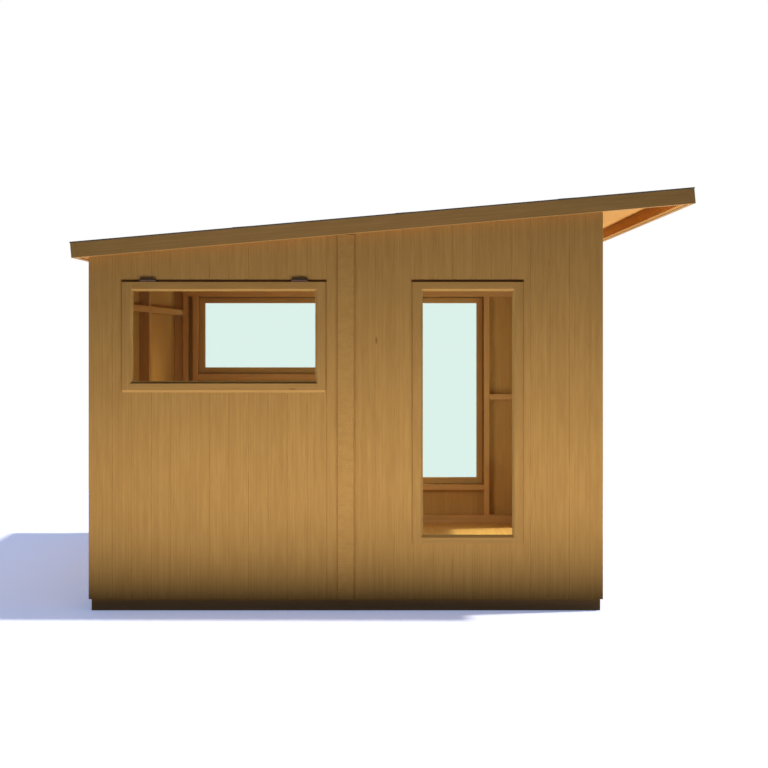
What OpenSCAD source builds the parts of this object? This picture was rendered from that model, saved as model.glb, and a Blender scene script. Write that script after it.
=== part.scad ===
// Pent-roofed timber summerhouse, built from framed wall panels on a boarded floor.
// +Z is up, the front with its doors faces -Y, and the origin is on the ground
// at the middle of the wall footprint.

/* [Footprint] */
// Depth between the outer cladding faces, front to rear
wall_depth = 3000; // [2960:10:3600]
// Width between the outer cladding faces, left to right
wall_width = 3000; // [2960:10:3600]

/* [Floor] */
// Height of the floor bearers
bearer_h = 60; // [40:1:100]
// Thickness of one floor bearer
bearer_t = 44; // [34:1:60]
// Number of floor bearers
bearer_count = 7; // [3:2:11]
// Thickness of the floor boards
floor_t = 12; // [10:1:22]
// Gap between the floor's edge and the inner face of the cladding
floor_gap = 2; // [1:0.5:10]

/* [Walls] */
// Height of the front wall's outer top edge above the ground
front_height = 2330; // [2280:10:2600]
// Thickness of the cladding boards
clad_t = 12; // [10:1:18]
// Distance that the cladding hangs below the floor's surface
clad_lap = 4; // [2:1:30]
// Face width of a framing member
stud_w = 44; // [34:1:50]
// Depth of a framing member behind the cladding
stud_d = 70; // [34:1:80]
// Height of the wall panels' bottom rails
plate_h = 68; // [34:1:90]
// Gap between two neighbouring wall panels
panel_gap = 2; // [1:0.5:4]
// Width of the batten that covers a panel joint
batten_w = 93; // [60:1:110]
// Thickness of the batten
batten_t = 12; // [8:1:20]
// Height of the lower cross rails above the ground
mid_rail_z = 1080; // [900:1:1150]
// Height of the upper cross rails of the rear wall above the ground
high_rail_z = 1764; // [1500:1:1800]

/* [Windows] */
// Height of the window tops above the ground
window_top = 1918; // [1850:1:1930]
// Distance from the outer wall face to the middle of a side window
window_from_end = 789; // [770:1:795]
// Overall width of a top-hung window
wide_w = 1184; // [900:1:1200]
// Height of a top-hung window's underside above the ground
wide_foot_z = 1278; // [1150:1:1450]
// Overall width of a tall fixed window
tall_w = 642; // [500:1:650]
// Height of a tall window's underside above the ground
tall_foot_z = 393; // [250:1:700]
// Face width of the window's side members
win_side_w = 57; // [40:1:70]
// Face width of the window's head member
win_head_w = 51; // [40:1:70]
// Face width of a top-hung window's bottom member
wide_foot_w = 59; // [40:1:80]
// Face width of a tall window's bottom member
tall_foot_w = 46; // [40:1:70]
// Thickness of a window frame
win_t = 40; // [36:1:44]
// Distance that a window frame stands proud of the cladding
win_proud = 8; // [2:1:12]
// Distance that a window's inner part stands in from the edge of its lip
lip_w = 11; // [4:1:14]
// Distance that a window's lip covers the studs beside it and the rail above it
lip_lap = 2; // [1:0.5:4]
// Width of the sloping inner edge of a frame
splay = 11; // [4:1:14]
// Height of the sloping lower edge under a top-hung window
drip = 13; // [4:1:18]
// Gap beside a window frame
side_gap = 6; // [3:1:8]
// Gap above a window frame
head_gap = 14; // [8:1:16]
// Thickness of the glass
glass_t = 4; // [3:1:6]

/* [Doors] */
// Overall width of the door frame
door_unit_w = 1180; // [1100:1:1200]
// Face width of the door frame's jambs and head
jamb_w = 44; // [34:1:50]
// Height of the threshold
sill_h = 28; // [20:1:40]
// Thickness of a door leaf
leaf_t = 36; // [30:1:40]
// Face width of a door's stiles
stile_w = 80; // [60:1:100]
// Face width of a door's top rail
door_top_rail = 90; // [60:1:120]
// Face width of a door's bottom rail
door_foot_rail = 180; // [100:1:300]
// Gap around a door leaf
leaf_gap = 3; // [2:0.5:5]
// Height of the door handle above the floor
handle_up = 930; // [850:1:1100]

/* [Roof] */
// Fall of the roof from front to rear, in degrees
roof_pitch = 5; // [3:0.5:6]
// Overhang of the roof in front of the front wall, along the slope
front_overhang = 531; // [200:1:600]
// Overhang of the roof behind the rear wall, along the slope
rear_overhang = 90; // [60:5:150]
// Overhang of the roof at each side
side_overhang = 50; // [40:1:90]
// Height of the rafters, beams and purlins
rafter_h = 72; // [60:1:100]
// Thickness of the rafters, beams and purlins
rafter_t = 42; // [34:1:70]
// Number of purlins between the front and rear walls
purlin_count = 2; // [1:1:4]
// Thickness of the roof boards
deck_t = 16; // [10:1:22]
// Thickness of the fascia boards
fascia_t = 32; // [12:1:40]
// Distance that the fascia boards hang below the rafters
fascia_drop = 4; // [0:1:15]
// Thickness of the roofing felt
felt_t = 2; // [1:0.5:4]
// Height of the felt's turned-down edge
felt_lip = 5; // [5:1:30]

/* [Hidden] */
half_d = wall_depth / 2;
half_w = wall_width / 2;
// Distance that the floor's edge lies behind the cladding face
floor_inset = clad_t + floor_gap;
floor_z = bearer_h + floor_t;
clad_foot = floor_z - clad_lap;
frame_y = clad_t;
room_y = clad_t + stud_d;
plate_top = floor_z + plate_h;
rail_drop = stud_w / cos(roof_pitch);
// Running gap between a glass pane or a leaf and the wood round it
seat_gap = 0.3;
// Space between a top-hung window's inner part and the studs beside it
stud_space = side_gap - 2;
// Height of a top-hung window's inner part above the foot of its lip
wide_body_up = 26;
wide_sill_top = wide_foot_z + 8;
tall_sill_top = tall_foot_z - 5;
// Heights of the rail above each window and of the rail low under a wide one
head_rail_z = window_top - lip_lap;
low_rail_z = mid_rail_z - 450;
slope_len = wall_depth / cos(roof_pitch);
roof_half = half_w + side_overhang;
roof_front = -front_overhang;
roof_rear = slope_len + rear_overhang;
bay_half = roof_half - fascia_t - rafter_t;
door_half = door_unit_w / 2;
leaf_y = -6;
stop_y = leaf_y + leaf_t + seat_gap;
stop_w = 12;
door_studs = door_half + 4;
// Widths between the studs on either side of a window
wide_bay = wide_w - 2 * lip_w + 2 * stud_space;
tall_bay = tall_w - 2 * lip_lap;
front_window_x = door_studs + stud_w + tall_bay / 2;
wide_x = -(half_d - window_from_end);
tall_x = half_d - window_from_end;
hinge_len = 94;
hinge_r = 6;
hinge_leaf_t = 2;

wood = [0.66, 0.50, 0.30];
frame_wood = [0.62, 0.44, 0.24];
felt_grey = [0.20, 0.20, 0.19];
dark_metal = [0.24, 0.23, 0.24];
pane = [0.80, 0.93, 0.88, 0.35];

// ---- Places -------------------------------------------------------------
// Each wall is drawn looking at it from outside: X runs along the wall, Y runs
// inwards from the cladding face, and Z is up.
module on_front() {
    translate([0, -half_d, 0]) children();
}
module on_rear() {
    translate([0, half_d, 0]) rotate([0, 0, 180]) children();
}
// Along the left wall, X runs towards the front
module on_left() {
    translate([-half_w, 0, 0]) rotate([0, 0, -90]) children();
}
module on_right() {
    mirror([1, 0, 0]) on_left() children();
}
// On the roof, Y runs down the slope from above the front wall's face, and Z is
// square to the boards
module on_roof() {
    translate([0, -half_d, front_height]) rotate([-roof_pitch, 0, 0]) children();
}

// ---- Shapes -------------------------------------------------------------
// Height of the wall tops at a distance back from the front wall's face
function top_at(back) = front_height - back * tan(roof_pitch);
function side_top(x) = top_at(half_d - x);

// A block between two corners
module block(low, high) {
    translate(low) cube(high - low);
}
// A flat shape in the wall's plane, t thick, with its outer face at y
module slab(points, y, t) {
    translate([0, y + t, 0]) rotate([90, 0, 0]) linear_extrude(t) polygon(points);
}
// A bar along the wall with a given section
module bar(x0, x1, section) {
    translate([x0, 0, 0]) rotate([90, 0, 90]) linear_extrude(x1 - x0) polygon(section);
}
// A block that tapers by the same amount on its four edges from w by h at y = 0
module tapered_block(w, h, taper, depth) {
    intersection() {
        linear_extrude(h, center = true)
            polygon([[-w / 2, 0], [w / 2, 0], [w / 2 - taper, depth], [taper - w / 2, depth]]);
        rotate([90, 0, 90]) linear_extrude(w, center = true)
            polygon([[0, -h / 2], [0, h / 2], [depth, h / 2 - taper], [depth, taper - h / 2]]);
    }
}
// A rectangular frame whose opening is splayed at its outer face
module ring(w, z0, z1, y, t, side, head, foot) {
    open_w = w - 2 * side;
    open_h = z1 - head - z0 - foot;
    open_z = z0 + foot + open_h / 2;
    difference() {
        block([-w / 2, y, z0], [w / 2, y + t, z1]);
        block([-open_w / 2, y - 1, z0 + foot], [open_w / 2, y + t + 1, z1 - head]);
        translate([0, y - 1, open_z])
            tapered_block(open_w + 2 * splay + 2, open_h + 2 * splay + 2, splay + 1, splay + 1);
    }
}
// The pane that fills such a frame
module ring_glass(w, z0, z1, y, side, head, foot) {
    block([side - w / 2 + seat_gap, y, z0 + foot + seat_gap],
        [w / 2 - side - seat_gap, y + glass_t, z1 - head - seat_gap]);
}

// ---- Floor --------------------------------------------------------------
module floor_bearers() {
    first = -(half_w - floor_inset - bearer_t / 2);
    pitch = -2 * first / (bearer_count - 1);
    long = half_d - floor_inset;
    color(wood)
        for (i = [0 : bearer_count - 1])
            translate([first + i * pitch, 0, 0])
                block([-bearer_t / 2, -long, 0], [bearer_t / 2, long, bearer_h]);
}
module floor_deck() {
    color(wood)
        block([floor_inset - half_w, floor_inset - half_d, bearer_h],
            [half_w - floor_inset, half_d - floor_inset, floor_z]);
}

// ---- Wall panels --------------------------------------------------------
// The hole in the cladding round a window
module window_hole(x, w, foot_z) {
    block([x - w / 2 - side_gap, -1, foot_z],
        [x + w / 2 + side_gap, clad_t + 1, window_top + head_gap]);
}
module side_cladding(x0, x1, window_x, window_w, window_z) {
    color(wood)
        difference() {
            slab([[x0, clad_foot], [x1, clad_foot], [x1, side_top(x1)], [x0, side_top(x0)]], 0, clad_t);
            window_hole(window_x, window_w, window_z);
        }
}
module side_rear_cladding() {
    side_cladding(-half_d, -panel_gap / 2, wide_x, wide_w, wide_foot_z);
}
module side_front_cladding() {
    side_cladding(panel_gap / 2, half_d, tall_x, tall_w, tall_foot_z);
}
// A piece of the front or rear wall's cladding, whose top follows the roof
module end_cladding(x0, x1, z0, rear) {
    color(wood)
        bar(x0, x1, [[0, z0], [clad_t, z0],
            [clad_t, top_at(rear ? wall_depth - clad_t : clad_t)], [0, top_at(rear ? wall_depth : 0)]]);
}
module front_cladding(hand) {
    inner = half_w - clad_t;
    flip = hand < 0 ? 1 : 0;
    on_front() mirror([flip, 0, 0])
        difference() {
            end_cladding(door_studs, inner, clad_foot, false);
            window_hole(front_window_x, tall_w, tall_foot_z);
        }
}
module front_head_cladding() {
    on_front() end_cladding(-door_studs, door_studs, window_top + head_gap, false);
}
module rear_cladding(hand) {
    flip = hand < 0 ? 0 : 1;
    on_rear() mirror([flip, 0, 0]) end_cladding(panel_gap / 2, half_w - clad_t, clad_foot, true);
}

// ---- Wall framing -------------------------------------------------------
// An upright between two heights
module upright(x0, z0, z1) {
    block([x0, frame_y, z0], [x0 + stud_w, room_y, z1]);
}
// A side wall's upright that runs up to the sloping top rail
module tall_upright(x0) {
    x1 = x0 + stud_w;
    slab([[x0, plate_top], [x1, plate_top], [x1, side_top(x1) - rail_drop],
        [x0, side_top(x0) - rail_drop]], frame_y, stud_d);
}
// A level rail between two uprights
module rail(x0, x1, z0) {
    block([x0, frame_y, z0], [x1, room_y, z0 + stud_w]);
}
// A rail on the floor, under a panel's uprights
module plate(x0, x1) {
    block([x0, frame_y, floor_z], [x1, room_y, plate_top]);
}
// A side wall's sloping top rail
module sloping_rail(x0, x1) {
    slab([[x0, side_top(x0) - rail_drop], [x1, side_top(x1) - rail_drop],
        [x1, side_top(x1)], [x0, side_top(x0)]], frame_y, stud_d);
}
// Places of the uprights on either side of a window's bay, at their left faces
function left_of(x, bay) = x - bay / 2 - stud_w;
function right_of(x, bay) = x + bay / 2;
side_end = half_d - room_y;

module side_studs() {
    color(frame_wood) {
        for (x = [-side_end, -panel_gap / 2 - stud_w, panel_gap / 2, side_end - stud_w])
            tall_upright(x);
        for (x = [left_of(wide_x, wide_bay), right_of(wide_x, wide_bay),
                left_of(tall_x, tall_bay), right_of(tall_x, tall_bay)])
            upright(x, plate_top, head_rail_z);
    }
}
// Rails of one side-wall panel between its end uprights
module panel_rails(x0, x1, window_x, bay, sill_top) {
    inner0 = left_of(window_x, bay) + stud_w;
    inner1 = right_of(window_x, bay);
    plate(x0, x1);
    sloping_rail(x0, x1);
    rail(x0 + stud_w, x1 - stud_w, head_rail_z);
    rail(inner0, inner1, sill_top - stud_w);
}
module side_rails() {
    color(frame_wood) {
        panel_rails(-side_end, -panel_gap / 2, wide_x, wide_bay, wide_sill_top);
        panel_rails(panel_gap / 2, side_end, tall_x, tall_bay, tall_sill_top);
        rail(left_of(wide_x, wide_bay) + stud_w, right_of(wide_x, wide_bay), low_rail_z);
        rail(right_of(tall_x, tall_bay) + stud_w, side_end - stud_w, mid_rail_z);
        rail(panel_gap / 2 + stud_w, left_of(tall_x, tall_bay), mid_rail_z);
    }
}
// Height of the underside of the top rail in the front and rear walls
function end_rail_z(rear) = top_at(rear ? wall_depth - clad_t : room_y) - stud_w;
module end_top_rail(x0, x1, rear) {
    z0 = end_rail_z(rear);
    bar(x0, x1, [[frame_y, z0], [room_y, z0],
        [room_y, top_at(rear ? wall_depth - room_y : room_y)],
        [frame_y, top_at(rear ? wall_depth - frame_y : frame_y)]]);
}
end_half = half_w - clad_t;
module rear_wall_studs() {
    color(frame_wood)
        on_rear()
            for (x = [-end_half, -panel_gap / 2 - stud_w, panel_gap / 2, end_half - stud_w])
                upright(x, plate_top, end_rail_z(true));
}
module rear_wall_rails() {
    color(frame_wood)
        on_rear()
            for (side = [0, 1])
                mirror([side, 0, 0]) {
                    plate(panel_gap / 2, end_half);
                    end_top_rail(panel_gap / 2, end_half, true);
                    for (z = [mid_rail_z, high_rail_z])
                        rail(panel_gap / 2 + stud_w, end_half - stud_w, z);
                }
}
module front_wall_studs() {
    color(frame_wood)
        on_front()
            for (side = [0, 1])
                mirror([side, 0, 0]) {
                    upright(end_half - stud_w, plate_top, end_rail_z(false));
                    upright(door_studs, plate_top, head_rail_z);
                    upright(right_of(front_window_x, tall_bay), plate_top, head_rail_z);
                }
}
module front_wall_rails() {
    color(frame_wood)
        on_front() {
            end_top_rail(-end_half, end_half, false);
            rail(stud_w - end_half, end_half - stud_w, head_rail_z);
            for (side = [0, 1])
                mirror([side, 0, 0]) {
                    plate(door_studs, end_half);
                    rail(door_studs + stud_w, right_of(front_window_x, tall_bay), tall_sill_top - stud_w);
                }
        }
}
// The battens that cover the joints between two wall panels
module joint_battens() {
    color(wood) {
        for (side = [0, 1])
            mirror([side, 0, 0]) on_left()
                block([-batten_w / 2, -batten_t, clad_foot],
                    [batten_w / 2, 0, side_top(-batten_w / 2)]);
        on_rear()
            block([-batten_w / 2, -batten_t, clad_foot],
                [batten_w / 2, 0, top_at(wall_depth + batten_t)]);
    }
}

// ---- Windows ------------------------------------------------------------
// A window frame with a lip round its outer half, and a body behind the lip whose
// foot stands body_up above the lip's
module window(x, w, foot_z, foot_w, body_up) {
    color(frame_wood)
        translate([x, 0, 0])
            difference() {
                ring(w, foot_z, window_top, -win_proud, win_t, win_side_w, win_head_w, foot_w);
                difference() {
                    block([-w / 2 - 1, clad_t, foot_z - 1], [w / 2 + 1, win_t, window_top + 1]);
                    block([lip_w - w / 2, clad_t - 1, foot_z + body_up],
                        [w / 2 - lip_w, win_t + 1, window_top - lip_w]);
                }
            }
}
// A top-hung window, sloped under its lower outer edge so that rain drips off
module wide_window() {
    outer = -win_proud;
    difference() {
        window(wide_x, wide_w, wide_foot_z, wide_foot_w, wide_body_up);
        translate([wide_x, 0, wide_foot_z])
            bar(-wide_w / 2 - 1, wide_w / 2 + 1,
                [[outer - 1, -1], [outer + drip + 1, -1], [outer - 1, drip + 1]]);
    }
}
module tall_window(x) {
    window(x, tall_w, tall_foot_z, tall_foot_w, 0);
}
module window_glass(x, w, foot_z, foot_w) {
    color(pane)
        translate([x, 0, 0])
            ring_glass(w, foot_z, window_top, win_t / 2 - win_proud - glass_t / 2,
                win_side_w, win_head_w, foot_w);
}
module tall_glass(x) {
    window_glass(x, tall_w, tall_foot_z, tall_foot_w);
}
module side_glass() {
    window_glass(wide_x, wide_w, wide_foot_z, wide_foot_w);
    tall_glass(tall_x);
}
// A butt hinge on the top edge of a top-hung window: its knuckle lies over the
// gap, one leaf is screwed to the cladding and the other runs down into the gap
module window_hinge(x) {
    half = hinge_len / 2;
    hole_top = window_top + head_gap;
    leaf_up = 12;
    pin_z = window_top + head_gap / 2 + 3;
    color(dark_metal)
        translate([x, 0, 0]) {
            block([-half, -hinge_leaf_t, hole_top], [half, 0, hole_top + leaf_up]);
            translate([-half, -hinge_r - 1, pin_z])
                rotate([0, 90, 0]) cylinder(h = hinge_len, r = hinge_r, $fn = 32);
            block([-half, -hinge_r, window_top], [half, -hinge_leaf_t, hole_top + hinge_leaf_t]);
        }
}
module window_hinges() {
    inset = 150;
    for (side = [0, 1])
        mirror([side, 0, 0]) on_left()
            for (end = [-1, 1])
                window_hinge(wide_x + end * (wide_w / 2 - inset));
}

// ---- Doors --------------------------------------------------------------
module door_frame() {
    inner = door_half - jamb_w;
    color(frame_wood)
        on_front()
            difference() {
                block([-door_half, leaf_y, floor_z], [door_half, room_y, head_rail_z]);
                block([-inner, leaf_y - 1, floor_z + sill_h], [inner, stop_y, head_rail_z - jamb_w]);
                block([stop_w - inner, stop_y - 1, floor_z + sill_h],
                    [inner - stop_w, room_y + 1, head_rail_z - jamb_w - stop_w]);
            }
}
leaf_w = door_half - jamb_w - 1.5 * leaf_gap;
leaf_x = leaf_gap / 2 + leaf_w / 2;
leaf_z0 = floor_z + sill_h + leaf_gap;
leaf_z1 = head_rail_z - jamb_w - leaf_gap;
module leaf() {
    color(frame_wood)
        translate([leaf_x, 0, 0])
            ring(leaf_w, leaf_z0, leaf_z1, leaf_y, leaf_t, stile_w, door_top_rail, door_foot_rail);
}
module left_door() {
    on_front() mirror([1, 0, 0]) leaf();
}
// The right leaf carries the strip that covers the gap between the two
module right_door() {
    strip_w = 34;
    strip_t = 8;
    on_front() {
        leaf();
        color(frame_wood)
            block([-strip_w / 2, leaf_y - strip_t, leaf_z0], [strip_w / 2, leaf_y, leaf_z1]);
    }
}
module door_glass() {
    color(pane)
        on_front()
            for (side = [0, 1])
                mirror([side, 0, 0]) translate([leaf_x, 0, 0])
                    ring_glass(leaf_w, leaf_z0, leaf_z1, leaf_y + leaf_t / 2 - glass_t / 2,
                        stile_w, door_top_rail, door_foot_rail);
}
module door_hinges() {
    plate_w = 24;
    long = 90;
    from_end = 200;
    gap_x = door_half - jamb_w - leaf_gap / 2;
    color(dark_metal)
        on_front()
            for (side = [0, 1], z = [leaf_z0 + from_end, (leaf_z0 + leaf_z1) / 2, leaf_z1 - from_end])
                mirror([side, 0, 0]) translate([gap_x, leaf_y, z]) {
                    block([-plate_w, -hinge_leaf_t, -long / 2], [plate_w, 0, long / 2]);
                    translate([0, -hinge_r, -long / 2]) cylinder(h = long, r = hinge_r, $fn = 32);
                }
}
// A lever handle on its back plate, outside and inside the right leaf
module door_handle() {
    plate_half = 16;
    plate_t = 6;
    reach = 44;
    neck_r = 9;
    lever_r = 8;
    lever_len = 120;
    // Clear of the strip that covers the meeting stiles
    handle_x = leaf_gap / 2 + stile_w / 2 + 6;
    color(dark_metal)
        on_front()
            for (face = [leaf_y, leaf_y + leaf_t])
                translate([handle_x, face, floor_z + handle_up]) mirror([0, face > 0 ? 1 : 0, 0]) {
                    block([-plate_half, -plate_t, -90], [plate_half, 0, 50]);
                    rotate([90, 0, 0]) cylinder(h = reach, r = neck_r, $fn = 32);
                    translate([-neck_r, -reach, 0]) rotate([0, 90, 0])
                        cylinder(h = lever_len, r = lever_r, $fn = 32);
                }
}

// ---- Roof ---------------------------------------------------------------
module roof_rafters() {
    color(frame_wood)
        on_roof()
            for (side = [0, 1])
                mirror([side, 0, 0])
                    block([bay_half, roof_front + fascia_t, 0],
                        [bay_half + rafter_t, roof_rear - fascia_t, rafter_h]);
}
// The beams behind the front and rear fascias
module roof_beams() {
    front = roof_front + fascia_t;
    color(frame_wood)
        on_roof() {
            block([-bay_half, front, 0], [bay_half, front + rafter_t, rafter_h]);
            block([-bay_half, slope_len, 0], [bay_half, roof_rear - fascia_t, rafter_h]);
        }
}
module roof_purlins() {
    span = slope_len - rafter_t;
    color(frame_wood)
        on_roof()
            for (i = [0 : purlin_count + 1])
                translate([0, i * span / (purlin_count + 1), 0])
                    block([-bay_half, 0, 0], [bay_half, rafter_t, rafter_h]);
}
module roof_deck() {
    wide = roof_half - fascia_t;
    color(wood)
        on_roof()
            block([-wide, roof_front + fascia_t, rafter_h],
                [wide, roof_rear - fascia_t, rafter_h + deck_t]);
}
module front_fascia() {
    color(wood)
        on_roof()
            block([-roof_half, roof_front, -fascia_drop],
                [roof_half, roof_front + fascia_t, rafter_h + deck_t]);
}
module rear_fascia() {
    color(wood)
        on_roof()
            block([-roof_half, roof_rear - fascia_t, -fascia_drop],
                [roof_half, roof_rear, rafter_h + deck_t]);
}
module side_fascia() {
    color(wood)
        on_roof()
            block([-roof_half, roof_front + fascia_t, -fascia_drop],
                [fascia_t - roof_half, roof_rear - fascia_t, rafter_h + deck_t]);
}
module roof_felt() {
    top = rafter_h + deck_t;
    color(felt_grey)
        on_roof()
            difference() {
                block([-roof_half - felt_t, roof_front - felt_t, top - felt_lip],
                    [roof_half + felt_t, roof_rear + felt_t, top + felt_t]);
                block([-roof_half, roof_front, top - felt_lip - 1], [roof_half, roof_rear, top]);
            }
}

// ---- Assembly -----------------------------------------------------------
floor_bearers();
floor_deck();
on_left() side_rear_cladding();  // left_wall_rear_cladding
on_left() side_front_cladding();  // left_wall_front_cladding
on_right() side_rear_cladding();  // right_wall_rear_cladding
on_right() side_front_cladding();  // right_wall_front_cladding
rear_cladding(-1);  // rear_wall_left_cladding
rear_cladding(1);  // rear_wall_right_cladding
front_cladding(-1);  // front_wall_left_cladding
front_cladding(1);  // front_wall_right_cladding
front_head_cladding();  // front_wall_head_cladding
on_left() side_studs();  // left_wall_studs
on_left() side_rails();  // left_wall_rails
on_right() side_studs();  // right_wall_studs
on_right() side_rails();  // right_wall_rails
rear_wall_studs();
rear_wall_rails();
front_wall_studs();
front_wall_rails();
joint_battens();
on_left() wide_window();  // left_wide_window
on_right() wide_window();  // right_wide_window
window_hinges();
on_left() tall_window(tall_x);  // left_tall_window
on_right() tall_window(tall_x);  // right_tall_window
on_front() tall_window(-front_window_x);  // front_left_window
on_front() tall_window(front_window_x);  // front_right_window
on_left() side_glass();  // left_wall_glass
on_right() side_glass();  // right_wall_glass
on_front()  // front_wall_glass
    for (side = [-1, 1]) tall_glass(side * front_window_x);
door_frame();
left_door();
right_door();
door_glass();
door_hinges();
door_handle();
roof_rafters();
roof_beams();
roof_purlins();
roof_deck();
front_fascia();
rear_fascia();
side_fascia();  // left_fascia
mirror([1, 0, 0]) side_fascia();  // right_fascia
roof_felt();
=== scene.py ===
"""A pent-roofed timber summerhouse: its boards, joinery, ironmongery and felt, built round its CAD frame."""

import math
import random

import bmesh
import bpy
from mathutils import Matrix, Vector


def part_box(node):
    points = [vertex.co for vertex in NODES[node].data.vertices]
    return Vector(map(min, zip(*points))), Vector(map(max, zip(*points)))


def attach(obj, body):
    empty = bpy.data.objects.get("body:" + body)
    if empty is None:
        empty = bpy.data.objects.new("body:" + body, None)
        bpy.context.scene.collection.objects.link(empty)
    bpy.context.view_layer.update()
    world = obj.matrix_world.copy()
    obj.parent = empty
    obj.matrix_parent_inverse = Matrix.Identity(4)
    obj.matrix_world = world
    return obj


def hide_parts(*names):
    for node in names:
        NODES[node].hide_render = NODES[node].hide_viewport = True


bl_info = {
    "name": "Timber Summerhouse",
    "version": (1, 0, 0),
    "blender": (4, 5, 0),
    "location": "3D View > Sidebar > Summerhouse",
    "description": "Builds the boards, joinery and fittings of a pent-roofed timber summerhouse",
    "category": "Add Mesh",
}

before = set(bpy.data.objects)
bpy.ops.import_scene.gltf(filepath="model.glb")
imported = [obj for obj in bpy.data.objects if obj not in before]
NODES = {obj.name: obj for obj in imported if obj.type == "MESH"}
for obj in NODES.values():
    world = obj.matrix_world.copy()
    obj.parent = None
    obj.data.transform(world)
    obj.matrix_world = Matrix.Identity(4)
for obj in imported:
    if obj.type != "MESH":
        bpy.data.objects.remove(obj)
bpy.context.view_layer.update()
X, Y, Z = Vector((1, 0, 0)), Vector((0, 1, 0)), Vector((0, 0, 1))


def number(name, description, default, low, high, unit="NONE"):
    """The property of a number, such as a length or a lamp's strength"""
    return bpy.props.FloatProperty(
        name=name, description=description, default=default, min=low, max=high, unit=unit
    )


def colour(name, description, default):
    """The property of a finish's colour"""
    return bpy.props.FloatVectorProperty(
        name=name, description=description, subtype="COLOR", default=default, min=0, max=1
    )


class SummerhouseSizes(bpy.types.PropertyGroup):
    """Sizes of the boards, edges and fixings"""

    board: number("Board", "Width that one wall board covers", 0.1136, 0.08, 0.15, unit="LENGTH")
    vee: number(
        "V Joint", "Width of the chamfer along each edge of a wall board", 0.001, 0.001, 0.006, unit="LENGTH"
    )
    floor_board: number(
        "Floor Board", "Width that one floor board covers", 0.121, 0.08, 0.15, unit="LENGTH"
    )
    roof_board: number("Roof Board", "Width that one roof board covers", 0.114, 0.08, 0.15, unit="LENGTH")
    gap: number("Joint Gap", "Gap between the edges of two boards", 0.0002, 0.0001, 0.003, unit="LENGTH")
    arris: number(
        "Arris", "Width of the rounding on the edges of planed timber", 0.0015, 0.0003, 0.005, unit="LENGTH"
    )
    nail: number("Nail Head", "Radius of a nail head in the boards", 0.0022, 0.001, 0.006, unit="LENGTH")


class SummerhouseFinishes(bpy.types.PropertyGroup):
    """Colours of the summerhouse's finishes"""

    cladding: colour("Cladding", "The stained wall boards and battens", (0.53, 0.286, 0.083))
    backs: colour(
        "Board Backs", "The sawn backs of the wall boards, seen from the room", (0.52, 0.262, 0.070)
    )
    joinery: colour("Joinery", "The window frames, the door frame and the doors", (0.50, 0.270, 0.080))
    framing: colour("Framing", "The studs, rails, rafters and beams", (0.57, 0.290, 0.092))
    deck: colour("Deck", "The floor boards and the roof boards", (0.74, 0.380, 0.094))
    fascia: colour("Fascias", "The boards along the roof's edges", (0.47, 0.262, 0.086))
    knot: colour("Knots", "The knots in the boards", (0.30, 0.14, 0.04))
    bearer: colour("Bearers", "The treated bearers under the floor", (0.68, 0.38, 0.16))
    glass: colour("Glass", "Tint of the window glass", (0.842, 0.940, 0.909))
    metal: colour("Ironmongery", "The brown paint of the hinges and the handle", (0.10, 0.055, 0.038))
    nail: colour("Nails", "The nail heads under the boards' stain", (0.28, 0.154, 0.056))
    zinc: colour("Felt Nails", "The zinc on the nails along the felt's edges", (0.27, 0.27, 0.26))
    bitumen: colour("Bitumen", "The seam that is pressed out of the felt's laps", (0.022, 0.020, 0.018))
    felt: colour("Felt", "The roof's mineral felt", (0.105, 0.092, 0.078))


class SummerhouseStudio(bpy.types.PropertyGroup):
    """Camera and light"""

    distance: number(
        "Distance", "Distance of the camera from the middle of the summerhouse", 8.903, 4, 20, unit="LENGTH"
    )
    eye: number("Eye Height", "Height of the camera above the ground", 1.6207, 0, 5, unit="LENGTH")
    along: number("Along", "Place of the camera along the side wall", -0.2374, -3, 3, unit="LENGTH")
    lens: number("Lens", "Focal length in millimetres", 59.5, 20, 200)
    shift_x: number(
        "Shift Across", "Sideways shift of the lens, as a part of the frame's width", -0.0032552083, -1, 1
    )
    shift_y: number(
        "Shift Up", "Upward shift of the lens, as a part of the frame's width", -0.06640625, -1, 1
    )
    sun: number("Key Light", "Strength of the key light", 2.75, 0, 10)
    fill: number(
        "Fill Light", "Radiance of the soft lights that lie on the ground beside the walls", 7.2, 0, 20
    )
    room: number(
        "Room Light", "Radiance of the soft light inside, behind the left wall's wide window", 6.6, 0, 50
    )
    bounce: number(
        "Bounced Light", "Radiance of the warm light that the sunlit floor gives the rear wall", 0.95, 0, 20
    )
    world: number("World", "Strength of the light from all round", 0.12, 0, 4)


# ---- Materials ----------------------------------------------------------------


def new_material(name, roughness, **sockets):
    """A material with one Principled shader, and its node tree"""
    material = bpy.data.materials.new(name)
    material.use_nodes = True
    shader = material.node_tree.nodes["Principled BSDF"]
    shader.inputs["Roughness"].default_value = roughness
    for socket, value in sockets.items():
        shader.inputs[socket.replace("_", " ")].default_value = value
    return material, material.node_tree, shader


def node(tree, kind, **values):
    """A shader node, with its settings and the values of its sockets"""
    made = tree.nodes.new("ShaderNode" + kind)
    for key, value in values.items():
        if key in made.bl_rna.properties:
            setattr(made, key, value)
        else:
            made.inputs[key.replace("_", " ")].default_value = value
    return made


def scaled(tree, source, scale):
    """The source's coordinates through a Mapping node"""
    mapping = node(tree, "Mapping", Scale=scale)
    tree.links.new(source, mapping.inputs["Vector"])
    return mapping.outputs["Vector"]


def ramp(tree, factor, *stops):
    """A colour ramp over a factor; each stop is a place and a colour"""
    made = node(tree, "ValToRGB")
    elements = made.color_ramp.elements
    while len(elements) < len(stops):
        elements.new(0.5)
    for element, (place, colour) in zip(elements, stops):
        element.position = place
        element.color = (*colour, 1)
    tree.links.new(factor, made.inputs["Fac"])
    return made.outputs["Color"]


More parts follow.
